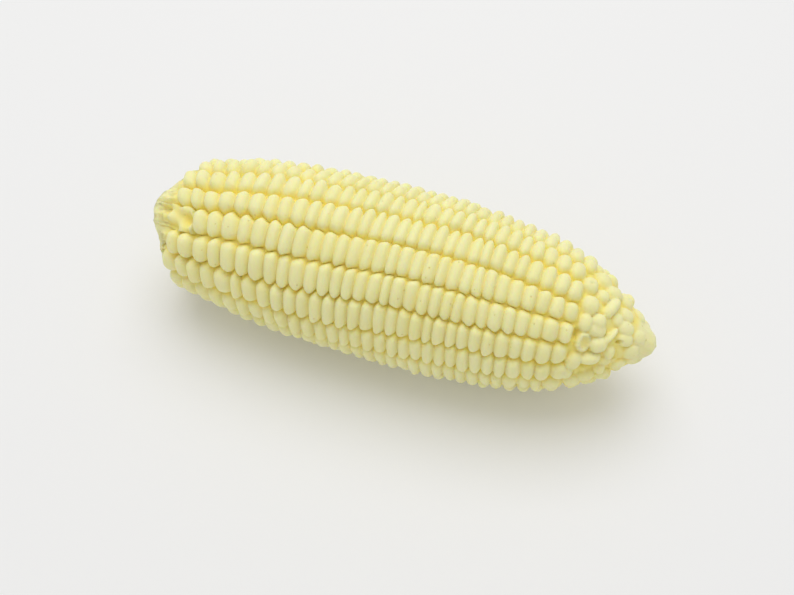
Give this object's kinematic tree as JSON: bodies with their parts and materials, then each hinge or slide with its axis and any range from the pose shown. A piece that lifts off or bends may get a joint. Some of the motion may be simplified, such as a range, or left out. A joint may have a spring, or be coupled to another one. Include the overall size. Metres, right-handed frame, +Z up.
{
  "type": "corn cob",
  "caption": "Whole ear of sweet corn with straight rows of kernels, a cut shank stub at the butt and a tapering, partly unfilled tip.",
  "frame": {"origin": "bottom centre of the bounding box, on the plane the cob rests on", "axes": "+X along the cob from the cut butt to the tip, +Z up, +Y sideways"},
  "size_m": [0.155, 0.0555, 0.0541],
  "materials": {
    "kernel_yellow": "pale yellow, matt to satin, waxy; warmer gold in the grooves between kernels"
  },
  "bodies": {
    "root": {"corn_cob": "kernel_yellow"}
  },
  "joints": []
}
